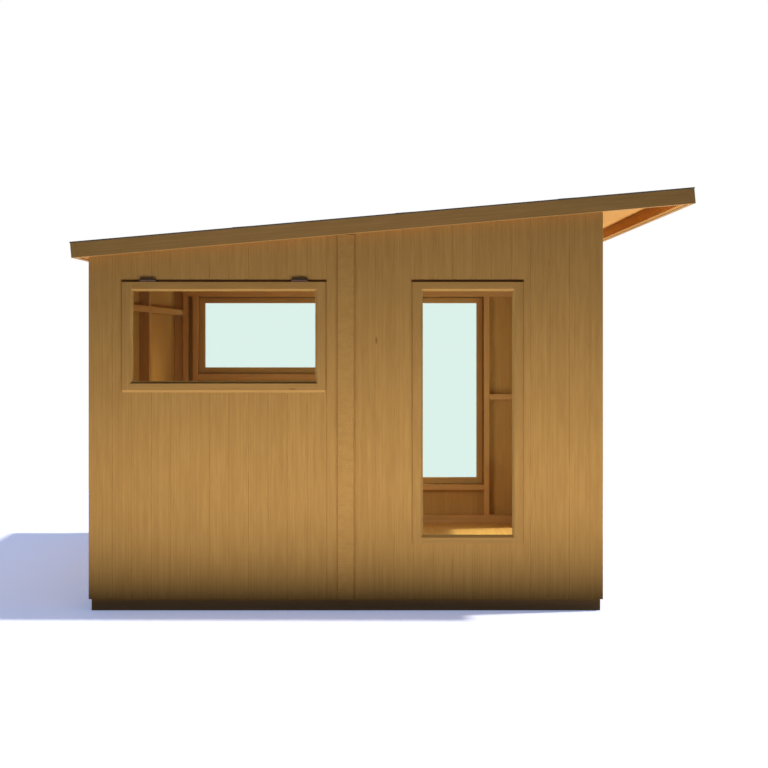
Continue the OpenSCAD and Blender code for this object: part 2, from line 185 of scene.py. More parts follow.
def blended(tree, factor, first, second, mode="MIX"):
    """One colour mixed over another; factor, first and second are sockets or values"""
    mix = node(tree, "Mix", data_type="RGBA", blend_type=mode)
    for socket, value in zip((mix.inputs[0], mix.inputs[6], mix.inputs[7]), (factor, first, second)):
        if isinstance(value, bpy.types.NodeSocket):
            tree.links.new(value, socket)
        elif isinstance(value, (int, float)):
            socket.default_value = value
        else:
            socket.default_value = (*value, 1)
    return mix.outputs[2]


def surface_mix(tree, output, factor, first, second):
    """One shader mixed over another by a factor, as what an output node shows"""
    mix = node(tree, "MixShader")
    for socket, source in zip(mix.inputs, (factor, first, second)):
        tree.links.new(source, socket)
    tree.links.new(mix.outputs["Shader"], tree.nodes[output].inputs["Surface"])


def shade(colour, amount):
    """A colour made lighter or darker"""
    return tuple(min(1.0, channel * amount) for channel in colour)


def wood(name, light, roughness=0.58, gloss=0.1):
    """Softwood whose rings and fibres follow each member's grain attribute, in the shade of its tone"""
    look = bpy.context.scene.summerhouse_finishes
    material, tree, shader = new_material(name, roughness, Specular_IOR_Level=gloss)
    grain = node(tree, "Attribute", attribute_name="grain").outputs["Vector"]
    tone = node(tree, "Attribute", attribute_name="tone").outputs["Fac"]

    # Growth rings: circles round a pith beside the member, drawn out along the grain
    rings = node(
        tree,
        "TexWave",
        wave_type="RINGS",
        rings_direction="X",
        wave_profile="SIN",
        Scale=26,
        Distortion=3.2,
        Detail=2.5,
        Detail_Scale=1.3,
        Detail_Roughness=0.55,
    )
    tree.links.new(scaled(tree, grain, (0.12, 1.0, 1.0)), rings.inputs["Vector"])
    # Fine fibres, and patches in which the colour drifts
    fibre = node(tree, "TexNoise", Scale=1, Detail=3, Roughness=0.6)
    tree.links.new(scaled(tree, grain, (7, 120, 120)), fibre.inputs["Vector"])
    drift = node(tree, "TexNoise", Scale=1, Detail=3)
    tree.links.new(scaled(tree, grain, (4, 34, 34)), drift.inputs["Vector"])

    # The darker rings, then streaks, patches and the member's own shade over them
    dark = [channel * depth for channel, depth in zip(light, (0.94, 0.93, 0.91))]
    colour = ramp(tree, rings.outputs["Fac"], (0.2, light), (1.0, dark))
    streaks = ramp(tree, fibre.outputs["Fac"], (0.3, (0.93, 0.91, 0.89)), (0.7, (1.05, 1.06, 1.07)))
    colour = blended(tree, 0.6, colour, streaks, "MULTIPLY")
    patches = ramp(tree, drift.outputs["Fac"], (0.3, (0.94, 0.93, 0.92)), (0.7, (1.05, 1.05, 1.05)))
    colour = blended(tree, 1.0, colour, patches, "MULTIPLY")
    shades = ramp(tree, tone, (0.0, (0.985, 0.98, 0.975)), (1.0, (1.015, 1.015, 1.015)))
    colour = blended(tree, 1.0, colour, shades, "MULTIPLY")

    # Knots: sparse dark spots, longer along the grain than across it
    cells = node(tree, "TexVoronoi", feature="F1", Scale=1, Randomness=1.0)
    tree.links.new(scaled(tree, grain, (1.4, 5.0, 5.0)), cells.inputs["Vector"])
    spots = ramp(tree, cells.outputs["Distance"], (0.012, (1, 1, 1)), (0.04, (0, 0, 0)))
    colour = blended(tree, spots, colour, look.knot)
    tree.links.new(colour, shader.inputs["Base Color"])

    bump = node(tree, "Bump", Strength=0.25, Distance=0.0006)
    tree.links.new(fibre.outputs["Fac"], bump.inputs["Height"])
    tree.links.new(bump.outputs["Normal"], shader.inputs["Normal"])
    return material


def clear_glass():
    """Float glass that lets the lamps through"""
    look = bpy.context.scene.summerhouse_finishes
    material, tree, shader = new_material("window_glass", 0.0, IOR=1.06, Transmission_Weight=1.0)
    shader.inputs["Base Color"].default_value = (*look.glass, 1)
    path = node(tree, "LightPath")
    clear = node(tree, "BsdfTransparent")
    clear.inputs["Color"].default_value = (0.96, 0.985, 0.975, 1)
    shadow = path.outputs["Is Shadow Ray"]
    surface_mix(tree, "Material Output", shadow, shader.outputs["BSDF"], clear.outputs["BSDF"])
    return material


def speckled(name, base, roughness, gloss):
    """A smooth finish with a fine speckle, for painted or stained steel and for bitumen"""
    material, tree, shader = new_material(name, roughness, Specular_IOR_Level=gloss)
    coords = node(tree, "TexCoord").outputs["Object"]
    speckle = node(tree, "TexNoise", Scale=900, Detail=2)
    tree.links.new(coords, speckle.inputs["Vector"])
    colour = ramp(tree, speckle.outputs["Fac"], (0.3, shade(base, 0.85)), (0.7, shade(base, 1.3)))
    tree.links.new(colour, shader.inputs["Base Color"])
    return material


def mineral_felt():
    """Roofing felt with a mineral face"""
    look = bpy.context.scene.summerhouse_finishes
    material, tree, shader = new_material("mineral_felt", 0.92)
    coords = node(tree, "TexCoord").outputs["Object"]
    grit = node(tree, "TexNoise", Scale=420, Detail=2, Roughness=0.7)
    wash = node(tree, "TexNoise", Scale=1.6, Detail=3)
    for texture in (grit, wash):
        tree.links.new(coords, texture.inputs["Vector"])
    colour = ramp(tree, grit.outputs["Fac"], (0.35, shade(look.felt, 0.6)), (0.65, shade(look.felt, 1.7)))
    patches = ramp(tree, wash.outputs["Fac"], (0.35, (0.86, 0.87, 0.88)), (0.65, (1.08, 1.07, 1.05)))
    tree.links.new(blended(tree, 1.0, colour, patches, "MULTIPLY"), shader.inputs["Base Color"])
    bump = node(tree, "Bump", Strength=0.5, Distance=0.001)
    tree.links.new(grit.outputs["Fac"], bump.inputs["Height"])
    tree.links.new(bump.outputs["Normal"], shader.inputs["Normal"])
    return material


def finish_of(name):
    """The material of that name, made when it is first asked for"""
    if name in bpy.data.materials:
        return bpy.data.materials[name]
    look = bpy.context.scene.summerhouse_finishes
    makers = {
        "stained_boards": lambda: wood(name, look.cladding),
        "sawn_backs": lambda: wood(name, look.backs, 0.9, 0.0),
        "stained_framing": lambda: wood(name, look.framing, 0.8, 0.0),
        "stained_joinery": lambda: wood(name, look.joinery, 0.5),
        "deck_boards": lambda: wood(name, look.deck, 0.65),
        "fascia_boards": lambda: wood(name, look.fascia),
        "treated_bearers": lambda: wood(name, look.bearer, 0.8),
        "window_glass": clear_glass,
        "brown_steel": lambda: speckled(name, look.metal, 0.5, 0.3),
        "stained_steel": lambda: speckled(name, look.nail, 0.6, 0.2),
        "zinc_coated_steel": lambda: speckled(name, look.zinc, 0.5, 0.4),
        "bitumen": lambda: speckled(name, look.bitumen, 0.45, 0.4),
        "mineral_felt": mineral_felt,
    }
    return makers[name]()


# ---- Pieces -------------------------------------------------------------------

# How near counts as the same: for vertices that merge, a cut, points in one plane, and points at one end
MERGED, CUT, LEVEL, CLOSE = 1e-5, 1e-6, 1e-4, 1e-3
# A face looks along a direction where the cosine between them is over this
ALONG = 0.9
# How far a board's tongue reaches past its joint line
TONGUE = 0.005
# Thickness of the head of a nail or a screw
HEAD = 0.0008


def linked(name, data):
    """An object with some data, linked to the scene"""
    made = bpy.data.objects.new(name, data)
    bpy.context.scene.collection.objects.link(made)
    return made


def facing(at, out):
    """The matrix that turns a shape's own Z to a direction and moves it to a point"""
    return Matrix.Translation(at) @ out.to_track_quat("Z", "Y").to_matrix().to_4x4()


def piece(name, bm, finish, slot, *stands_for):
    """An object from a bmesh, riding on the summerhouse in place of the CAD nodes it stands for"""
    mesh = bpy.data.meshes.new(name)
    bm.to_mesh(mesh)
    bm.free()
    mesh.materials.append(finish_of(finish))
    made = linked(name, mesh)
    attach(made, "root")
    if stands_for:
        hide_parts(*stands_for)
    return made


def cad_copy(name):
    """A bmesh of a CAD node with its doubles merged and its flat faces joined"""
    flat = math.radians(0.2)
    bm = bmesh.new()
    bm.from_mesh(NODES[name].data)
    bmesh.ops.remove_doubles(bm, verts=bm.verts, dist=MERGED)
    bmesh.ops.dissolve_limit(bm, angle_limit=flat, verts=bm.verts, edges=bm.edges)
    return bm


def once(things):
    """The different ones of some things, in the order in which they come"""
    return list(dict.fromkeys(things))


def islands(bm):
    """The faces of each separate solid in a bmesh, in the order of their first faces"""
    bm.faces.index_update()
    found, seen = [], set()
    for first in bm.faces:
        if first in seen:
            continue
        seen.add(first)
        group, todo = [], [first]
        while todo:
            face = todo.pop()
            group.append(face)
            near = once(other for edge in face.edges for other in edge.link_faces)
            fresh = [other for other in near if other not in seen]
            seen.update(fresh)
            todo += fresh
        found.append(sorted(group, key=lambda f: f.index))
    return found


def set_grain(bm, faces, along, through, rng):
    """Gives faces the coordinates of a length of timber: along its fibres, across it and through it"""
    grain = bm.loops.layers.float_vector["grain"]
    tone = bm.faces.layers.float["tone"]
    along = along.normalized()
    across = through.cross(along).normalized()
    through = along.cross(across)
    # The pith lies beside the member, and the member starts anywhere along the tree
    pith = Vector((
        rng.uniform(0, 60),
        rng.uniform(-0.05, 0.05),
        rng.choice((-1, 1)) * rng.uniform(0.03, 0.09),
    ))
    corners = [loop.vert.co for face in faces for loop in face.loops]
    middle = sum(corners, Vector()) / len(corners)
    own_tone = rng.random()
    for face in faces:
        face[tone] = own_tone
        for loop in face.loops:
            at = loop.vert.co - middle
            loop[grain] = Vector((at.dot(along), at.dot(across), at.dot(through))) + pith


def grained(bm):
    """The bmesh, with the layers that set_grain fills"""
    bm.loops.layers.float_vector.new("grain")
    bm.faces.layers.float.new("tone")
    return bm


def longest_edge(faces):
    """The direction of the longest edge of some faces"""
    edge = max((e for f in faces for e in f.edges), key=lambda e: e.calc_length())
    return edge.verts[1].co - edge.verts[0].co


def ease_edges(bm, width, bend=25):
    """Rounds the edges of a bmesh where its faces bend by more than some degrees"""
    sharp = [
        e for e in bm.edges
        if len(e.link_faces) == 2 and e.calc_face_angle(0) > math.radians(bend)
    ]
    bmesh.ops.bevel(
        bm, geom=sharp, offset=width, segments=2, profile=0.5, affect="EDGES", material=-1,
        clamp_overlap=True,
    )


def timber(name, finish, slot, source, figure=None):
    """CAD members as planed timber with eased edges, each with its grain along its length or along figure"""
    rng = random.Random(name)
    bm = grained(cad_copy(source))
    member = bm.faces.layers.int.new("member")
    runs = []
    for group in islands(bm):
        runs.append(figure or longest_edge(group))
        for face in group:
            face[member] = len(runs) - 1
    ease_edges(bm, bpy.context.scene.summerhouse_sizes.arris)
    for index, along in enumerate(runs):
        set_grain(bm, [f for f in bm.faces if f[member] == index], along, along.orthogonal(), rng)
    piece(name, bm, finish, slot, source)


def prism(bm, outline, low, high):
    """A solid from a flat outline at low, drawn out to high; returns its faces"""
    start = set(bm.faces)
    verts = [bm.verts.new(p + low) for p in outline]
    face = bm.faces.new(verts)
    drawn = bmesh.ops.extrude_face_region(bm, geom=[face])
    tops = [v for v in drawn["geom"] if isinstance(v, bmesh.types.BMVert)]
    bmesh.ops.translate(bm, verts=tops, vec=high - low)
    new = [f for f in bm.faces if f not in start]
    bmesh.ops.recalc_face_normals(bm, faces=new)
    return new


def board_outline(width, thick, vee, gap, run, inwards, first, last):
    """The section of a tongue-and-groove board from its joint line at 0, seen along its length"""
    slack = 0.0006
    middle, half = thick * 0.55, thick * 0.12
    left, right = 0 if first else gap / 2, width if last else width - gap / 2
    points = [(left + vee, 0), (right - vee, 0), (right, vee)]
    if not last:
        points += [
            (right, middle - half), (right + TONGUE, middle - half),
            (right + TONGUE, middle + half), (right, middle + half),
        ]
    points += [(right, thick), (left, thick)]
    if not first:
        deep, wide = TONGUE + slack, half + slack / 2
        points += [
            (left, middle + wide), (left + deep, middle + wide),
            (left + deep, middle - wide), (left, middle - wide),
        ]
    points.append((left, vee))
    return [run * a + inwards * b for a, b in points]


def keep_behind(bm, faces, point, normal):
    """Cuts a solid by a plane, drops what lies on the normal's side, closes the cut and returns the rest"""
    whole = once([v for f in faces for v in f.verts] + [e for f in faces for e in f.edges] + [*faces])
    cut = bmesh.ops.bisect_plane(
        bm, geom=whole, dist=CUT, plane_co=point, plane_no=normal, clear_outer=True
    )
    left = [g for g in cut["geom"] if isinstance(g, bmesh.types.BMFace) and g.is_valid]
    rim = [e for e in once(e for f in left for e in f.edges) if len(e.link_faces) == 1]
    if rim:
        left += bmesh.ops.edgenet_fill(bm, edges=rim)["faces"]
    return left


def joints_of(width, first, pitch):
    """Joint lines of boards laid from one end of a run, the last board never under the narrowest"""
    narrowest = 0.04
    places, at = [0.0], first
    while at < width - narrowest:
        places.append(at)
        at += pitch
    return [*places, width]


class Slab:
    """A flat CAD node by its own directions: run, into it from its face, and up along its boards"""

    def __init__(self, name, run, inwards, up=Z):
        self.run, self.inwards, self.up = run, inwards, up
        bm = cad_copy(name)
        at = [(v.co.dot(run), v.co.dot(inwards), v.co.dot(up)) for v in bm.verts]
        self.start, self.end = min(u for u, _, _ in at), max(u for u, _, _ in at)
        self.face, self.back = min(d for _, d, _ in at), max(d for _, d, _ in at)
        self.low, self.high = min(z for _, _, z in at), max(z for _, _, z in at)
        inside = [(u, z) for u, _, z in at if self.start + LEVEL < u < self.end - LEVEL]
        self.hole = None
        if inside:
            us, zs = [u for u, _ in inside], [z for _, z in inside]
            self.hole = (min(us), max(us), min(zs), max(zs))
        ends = [f for f in bm.faces if f.normal.dot(up) > ALONG]
        top = max(ends, key=lambda f: f.calc_center_median().dot(up))
        self.top, self.top_normal = top.verts[0].co.copy(), top.normal.copy()
        bm.free()

    def point(self, u, depth, z):
        """A point from its place along the run, its depth behind the face and its place up the boards"""
        return self.run * u + self.inwards * (self.face + depth) + self.up * z

    def blocked(self, u, z):
        """True where the hole is"""
        return self.hole and self.hole[0] < u < self.hole[1] and self.hole[2] < z < self.hole[3]


def lay_boards(bm, slab, first, pitch, vee, rng):
    """Tongue-and-groove boards over a slab, cut round its hole and to its top; returns their joint lines"""
    gap = bpy.context.scene.summerhouse_sizes.gap
    places = joints_of(slab.end - slab.start, first, pitch)
    # What a board may reach past its joint line, and how high it stands until it is cut to the slab's top
    reach, over = TONGUE + 0.001, slab.high + 0.01
    for index, (near, far) in enumerate(zip(places, places[1:])):
        outline = board_outline(
            far - near, slab.back - slab.face, vee, gap, slab.run, slab.inwards,
            index == 0, index == len(places) - 2,
        )
        u0, u1 = slab.start + near, slab.start + far
        cuts = [(None, None, slab.low, over)]
        if slab.hole and u1 + reach > slab.hole[0] and u0 < slab.hole[1]:
            h0, h1, z0, z1 = slab.hole
            cuts = [(h0, h1, slab.low, z0), (h0, h1, z1, over)]
            if u0 < h0:
                cuts.append((None, h0, slab.low, over))
            if u1 > h1:
                cuts.append((h1, None, slab.low, over))
        whole = []
        for c0, c1, z0, z1 in cuts:
            solid = prism(bm, outline, slab.point(u0, 0, z0), slab.point(u0, 0, z1))
            if c0 is not None and u0 < c0:
                solid = keep_behind(bm, solid, slab.point(c0, 0, z0), -slab.run)
            if c1 is not None and u1 + reach > c1:
                solid = keep_behind(bm, solid, slab.point(c1, 0, z0), slab.run)
            if z1 == over:
                solid = keep_behind(bm, solid, slab.top, slab.top_normal)
            whole += solid
        set_grain(bm, whole, slab.up, slab.inwards, rng)
    return places


def nail_head(bm, at, out):
    """A small flat nail head at a point, facing out"""
    radius, taper = bpy.context.scene.summerhouse_sizes.nail, 0.7
    bmesh.ops.create_cone(
        bm, cap_ends=True, segments=10, radius1=radius, radius2=radius * taper, depth=HEAD,
        matrix=facing(at, out),
    )


def drive_nails(bm, slab, places, rails, rng):
    """Two nails in each board over each rail behind it"""
    # How far nails stand from a board's edge and foot, and stray from the rail's middle
    edge, foot, stray = 0.022, 0.01, 0.003
    for corners in rails:
        along = [c.dot(slab.run) for c in corners]
        ends = []
        for end in (min(along), max(along)):
            heights = [c.dot(slab.up) for c, u in zip(corners, along) if abs(u - end) < CLOSE]
            ends.append((end, (min(heights) + max(heights)) / 2))
        (u0, z0), (u1, z1) = ends
        for near, far in zip(places, places[1:]):
            for u in (slab.start + near + edge, slab.start + far - edge):
                z = z0 + (z1 - z0) * (u - u0) / (u1 - u0)
                if u0 < u < u1 and not slab.blocked(u, z) and z > slab.low + foot:
                    z += rng.uniform(-stray, stray)
                    nail_head(bm, slab.point(u, 0, z), -slab.inwards)


def swept(bm, corners, outline, inwards):
    """A bead round a rectangle, mitred at its corners; outline gives (towards the middle, inwards) points"""
    loops = []
    for index, corner in enumerate(corners):
        sides = [(corners[index - 1] - corner).normalized(), (corners[(index + 1) % 4] - corner).normalized()]
        mitre = sides[0] + sides[1]
        loops.append([bm.verts.new(corner + mitre * a + inwards * b) for a, b in outline])
    new = []
    for index in range(4):
        here, there = loops[index], loops[(index + 1) % 4]
        for k in range(len(outline)):
            new.append(bm.faces.new((here[k - 1], here[k], there[k], there[k - 1])))
    bmesh.ops.recalc_face_normals(bm, faces=new)
    return [new[i * len(outline):(i + 1) * len(outline)] for i in range(4)]


def box_of(group):
    """The lowest and highest corners of some points"""
    return (
        Vector(min(p[k] for p in group) for k in range(3)),
        Vector(max(p[k] for p in group) for k in range(3)),
    )


def solids_of(name):
    """The corners of each solid of a CAD node"""
    bm = cad_copy(name)
    found = [[v.co.copy() for v in once(v for f in group for v in f.verts)] for group in islands(bm)]
    bm.free()
    return found


def glass_in(glass, frame_node):
    """The pane of a CAD glass node whose middle lies in a frame, or about so"""
    about = 0.1
    low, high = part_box(frame_node)
    for corners in solids_of(glass):
        pane = box_of(corners)
        middle = (pane[0] + pane[1]) / 2
        if all(low[k] - about < middle[k] < high[k] + about for k in range(3)):
            return pane
    raise ValueError(f"no pane of {glass} lies in {frame_node}")


def joinery(name, source, run, inwards, opening, face=None):
    """A frame round an opening, with its own grain in each stile, each rail and any strip before its face"""
    stiles, rails, strip = (0, 1), (2, 3), 4
    rng = random.Random(name)
    bm = cad_copy(source)
    sides = sorted((opening[0].dot(run), opening[1].dot(run)))
    for u in sides:
        whole = [*bm.verts, *bm.edges, *bm.faces]
        bmesh.ops.bisect_plane(bm, geom=whole, dist=CUT, plane_co=run * u, plane_no=run)
    grained(bm)
    member = bm.faces.layers.int.new("member")
    middle = (opening[0].z + opening[1].z) / 2
    for part in bm.faces:
        at = part.calc_center_median()
        if face is not None and at.dot(inwards) < face - LEVEL:
            part[member] = strip
        elif at.dot(run) < sides[0]:
            part[member] = stiles[0]
        elif at.dot(run) > sides[1]:
            part[member] = stiles[1]
        else:
            part[member] = rails[0] if at.z < middle else rails[1]
    ease_edges(bm, bpy.context.scene.summerhouse_sizes.arris)
    for index, along in enumerate((Z, Z, run, run, Z)):
        faces = [f for f in bm.faces if f[member] == index]
        if faces:
            set_grain(bm, faces, along, inwards, rng)
    piece(name, bm, "stained_joinery", "joinery", source)


def glazing_beads(name, panes, inwards):
    """Quarter-round beads that hold panes from the room side"""
    rng = random.Random(name)
    bm = grained(bmesh.new())
    wide, deep, slack = 0.003, 0.007, 0.0004
    outline = [
        (0, 0), (wide, 0), (wide, deep * 0.35), (wide * 0.85, deep * 0.7),
        (wide * 0.45, deep * 0.93), (0, deep),
    ]
    for low, high in panes:
        back = max(low.dot(inwards), high.dot(inwards)) + slack
        run = inwards.cross(Z)
        u0, u1 = sorted((low.dot(run), high.dot(run)))
        corners = [
            run * u + inwards * back + Z * z
            for u, z in (
                (u0 - slack, low.z - slack), (u1 + slack, low.z - slack),
                (u1 + slack, high.z + slack), (u0 - slack, high.z + slack),
            )
        ]
        strips = swept(bm, corners, outline, inwards)
        for index, strip in enumerate(strips):
            set_grain(bm, strip, corners[(index + 1) % 4] - corners[index], inwards, rng)
    piece(name, bm, "stained_joinery", "joinery")


def side_seals(name, cladding, sources, run, inwards):
    """Flat strips that close the gaps between the cladding and the sides of its windows"""
    rng = random.Random(name)
    bm = grained(bmesh.new())
    sunk, slack = 0.0004, 0.0001
    for slab_name, source in zip(cladding, sources):
        slab = Slab(slab_name, run, inwards)
        low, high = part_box(source)
        thick = slab.back - slab.face
        for gap in ((slab.hole[0], low.dot(run)), (high.dot(run), slab.hole[1])):
            near, far = gap[0] + slack, gap[1] - slack
            outline = [run * u + inwards * b for u, b in ((near, 0), (far, 0), (far, thick), (near, thick))]
            faces = prism(bm, outline, slab.point(0, sunk, slab.hole[2]), slab.point(0, sunk, high.z))
            set_grain(bm, faces, Z, inwards, rng)
    piece(name, bm, "stained_joinery", "joinery")


def drip_mould(name, source, run, inwards):
    """A moulding under the foot of a top-hung window, sloped so that rain drips off clear of the boards"""
    bm = grained(bmesh.new())
    low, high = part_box(source)
    face = min(low.dot(inwards), high.dot(inwards))
    # The window stands proud of the boards, with a sloping cut along its foot that the moulding fills
    proud, slack, cut, nose, foot = 0.008, 0.0002, 0.0128, 0.010, -0.004
    section = ((0, cut), (0, nose), (proud - slack, foot), (proud - slack, slack), (cut - slack, slack))
    outline = [inwards * (face + depth) + Z * (low.z + height) for depth, height in section]
    faces = prism(bm, outline, run * low.dot(run), run * high.dot(run))
    set_grain(bm, faces, run, inwards, random.Random(name))
    piece(name, bm, "stained_joinery", "joinery")


def paint(source, finish):
    """Gives a CAD node that stays its finish"""
    NODES[source].data.materials.clear()
    NODES[source].data.materials.append(finish_of(finish))


def glazed(glass, beads, sources, run, inwards, face=None):
    """Frames or doors with the panes of a CAD glass node in them, and the panes' beads"""
    panes = [glass_in(glass, source) for source in sources]
    for source, pane in zip(sources, panes):
        joinery(source + "_joinery", source, run, inwards, pane, face)
    glazing_beads(beads, panes, inwards)
    paint(glass, "window_glass")


# The cladding's slabs: the wall, the direction into the room, and the kind of the first board
CLADDING = (
    ("left_wall_rear", "left", X, "full"),
    ("left_wall_front", "left", X, "half"),
    ("right_wall_rear", "right", -X, "full"),
    ("right_wall_front", "right", -X, "half"),
    ("rear_wall_left", "rear", -Y, "full"),
    ("rear_wall_right", "rear", -Y, "full"),
    ("front_wall_left", "front", Y, "door"),
    ("front_wall_right", "front", Y, "door"),
    ("front_wall_head", "front", Y, "head"),
)
# Width of the first board, nearest the wall's middle or at one end of the boards over the doors
FIRST_BOARD = {"full": 0.1115, "half": 0.0547, "door": 0.1136, "head": 0.0828}


class SUMMERHOUSE_OT_cladding(bpy.types.Operator):
    """Lays the wall boards, their nails and the battens over the panel joints"""

    bl_idname = "summerhouse.cladding"
    bl_label = "Cladding"

    def execute(self, context):
        sizes = context.scene.summerhouse_sizes
        heads = {}
        for name, wall, inwards, start in CLADDING:
            source = name + "_cladding"
            low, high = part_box(source)
            across = Y if inwards.x else X
            run = across if (low + high).dot(across) > -CLOSE else -across
            slab = Slab(source, run, inwards)
            bm = grained(bmesh.new())
            rng = random.Random(name)
            places = lay_boards(bm, slab, FIRST_BOARD[start], sizes.board, sizes.vee, rng)
            bm.normal_update()
            for face in bm.faces:
                deep = face.calc_center_median().dot(inwards) > slab.back - LEVEL
                face.material_index = 1 if deep and face.normal.dot(inwards) > ALONG else 0
            boards = piece(name + "_boards", bm, "stained_boards", "cladding", source)
            boards.data.materials.append(finish_of("sawn_backs"))
            nails = heads.setdefault(wall, bmesh.new())
            drive_nails(nails, slab, places, solids_of(wall + "_wall_rails"), rng)
        for wall, nails in heads.items():
            piece(wall + "_wall_nails", nails, "stained_steel", "ironmongery")
        timber("panel_joint_covers", "stained_boards", "cladding", "joint_battens", figure=X + Y)
        return {"FINISHED"}


class SUMMERHOUSE_OT_framing(bpy.types.Operator):
    """Stands the wall frames, rafters, beams and purlins"""

    bl_idname = "summerhouse.framing"
    bl_label = "Framing"

    def execute(self, context):
        for wall in ("left", "right", "rear", "front"):
            timber(f"{wall}_wall_uprights", "stained_framing", "framing", f"{wall}_wall_studs")
            timber(f"{wall}_wall_crossrails", "stained_framing", "framing", f"{wall}_wall_rails")
        for kind in ("rafter", "beam", "purlin"):
            timber(kind + "_timbers", "stained_framing", "framing", f"roof_{kind}s")
        return {"FINISHED"}


class SUMMERHOUSE_OT_windows(bpy.types.Operator):
    """Makes the window frames, their beads and their glass"""

    bl_idname = "summerhouse.windows"
    bl_label = "Windows"

    def execute(self, context):
        for wall, inwards in (("left", X), ("right", -X)):
            wide, tall = wall + "_wide_window", wall + "_tall_window"
            glazed(wall + "_wall_glass", wall + "_wall_beads", (wide, tall), Y, inwards)
            panels = wall + "_wall_rear_cladding", wall + "_wall_front_cladding"
            side_seals(wall + "_wall_seals", panels, (wide, tall), Y, inwards)
            drip_mould(wide + "_drip", wide, Y, inwards)
        glazed("front_wall_glass", "front_wall_beads", ("front_left_window", "front_right_window"), X, Y)
        return {"FINISHED"}


class SUMMERHOUSE_OT_doors(bpy.types.Operator):
    """Hangs the glazed doors in their frame"""

    bl_idname = "summerhouse.doors"
    bl_label = "Doors"

    def execute(self, context):
        clearance = 0.003
        low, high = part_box("left_door")[0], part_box("right_door")[1]
        glazed("door_glass", "door_beads", ("left_door", "right_door"), X, Y, low.y)
        joinery("door_frame_joinery", "door_frame", X, Y, (low - X * clearance, high + X * clearance))
        return {"FINISHED"}


class SUMMERHOUSE_OT_floor(bpy.types.Operator):
    """Lays the floor boards on their bearers"""

    bl_idname = "summerhouse.floor"
    bl_label = "Floor"

    def execute(self, context):
        sizes = context.scene.summerhouse_sizes
        rng = random.Random("floor")
        slab = Slab("floor_deck", Y, -Z, X)
        bm = grained(bmesh.new())
        vee, edge, stray = 0.0005, 0.025, 0.004
        places = lay_boards(bm, slab, sizes.floor_board, sizes.floor_board, vee, rng)
        piece("floor_boards", bm, "deck_boards", "boards", "floor_deck")
        nails = bmesh.new()
        for corners in solids_of("floor_bearers"):
            low, high = box_of(corners)
            middle = (low + high) / 2
            for near, far in zip(places, places[1:]):
                for u in (slab.start + near + edge, slab.start + far - edge):
                    nail_head(nails, slab.point(u, 0, middle.x + rng.uniform(-stray, stray)), Z)
        piece("floor_nails", nails, "stained_steel", "ironmongery")
        timber("bearer_timbers", "treated_bearers", "bearers", "floor_bearers")
        return {"FINISHED"}


def felt_laps(felt, top):
    """The felt's laps, each a thin wedge across the roof, and the bitumen along their lower edges"""
    course, lap, step, seam, narrowest = 0.95, 0.10, 0.0016, 0.008, 0.2
    wedge = ((0, 0), (0, step), (-lap, 0.0002), (-lap, 0))
    bead = ((0, 0), (seam, 0), (seam * 0.7, step * 0.6), (0, step * 0.95))
    for name, finish, section in (("felt_laps", "mineral_felt", wedge), ("felt_lap_seams", "bitumen", bead)):
        bm = bmesh.new()
        outline = [felt.up * a + top * b for a, b in section]
        edge = felt.high - course
        while edge > felt.low + narrowest:
            low = felt.point(felt.start, 0, edge)
            prism(bm, outline, low, low + X * (felt.end - felt.start))
            edge -= course
        piece(name, bm, finish, "felt")


def felt_nails(felt, top):
    """Nails along the four edges of the felt"""
    spacing, inset = 0.1, 0.016
    nails = bmesh.new()
    for k in range(int((felt.end - felt.start) / spacing)):
        for z in (felt.low + inset, felt.high - inset):
            nail_head(nails, felt.point(felt.start + inset + k * spacing, 0, z), top)
    for k in range(1, int((felt.high - felt.low) / spacing)):
        for u in (felt.start + inset, felt.end - inset):
            nail_head(nails, felt.point(u, 0, felt.low + inset + k * spacing), top)
    piece("felt_nails", nails, "zinc_coated_steel", "ironmongery")


class SUMMERHOUSE_OT_roof(bpy.types.Operator):
    """Lays the roof boards, fascias and felt"""

    bl_idname = "summerhouse.roof"
    bl_label = "Roof"

    def execute(self, context):
        sizes = context.scene.summerhouse_sizes
        rng = random.Random("roof")
        deck = cad_copy("roof_deck")
        top = max(deck.faces, key=lambda f: f.normal.z).normal.copy()
        deck.free()
        downhill = X.cross(top) * -1
        slab = Slab("roof_deck", X, top, downhill)
        bm = grained(bmesh.new())
        lay_boards(bm, slab, sizes.roof_board, sizes.roof_board, sizes.vee, rng)
        piece("roof_boards", bm, "deck_boards", "boards", "roof_deck")
        for side in ("front", "rear", "left", "right"):
            timber(side + "_fascia_board", "fascia_boards", "fascia", side + "_fascia")
        felt = Slab("roof_felt", X, -top, downhill)
        felt_laps(felt, top)
        felt_nails(felt, top)
        paint("roof_felt", "mineral_felt")
        return {"FINISHED"}


# Radius of a hinge's sleeves, and of the CAD knuckle that they cover
SLEEVE, KNUCKLE = 0.0064, 0.006


def screw_head(bm, at, out):
    """A countersunk screw head with a hollow for the driver"""
    radius, taper, rim, hollow = 0.0034, 0.8, 0.4, 0.0006
    made = bmesh.ops.create_cone(
        bm, cap_ends=True, segments=12, radius1=radius, radius2=radius * taper, depth=HEAD,
        matrix=facing(at, out),
    )
    faces = once(f for v in made["verts"] for f in v.link_faces)
    top = max(faces, key=lambda f: f.calc_center_median().dot(out))
    bmesh.ops.inset_region(bm, faces=[top], thickness=radius * rim, use_even_offset=True)
    bmesh.ops.translate(bm, verts=top.verts, vec=-out * hollow)


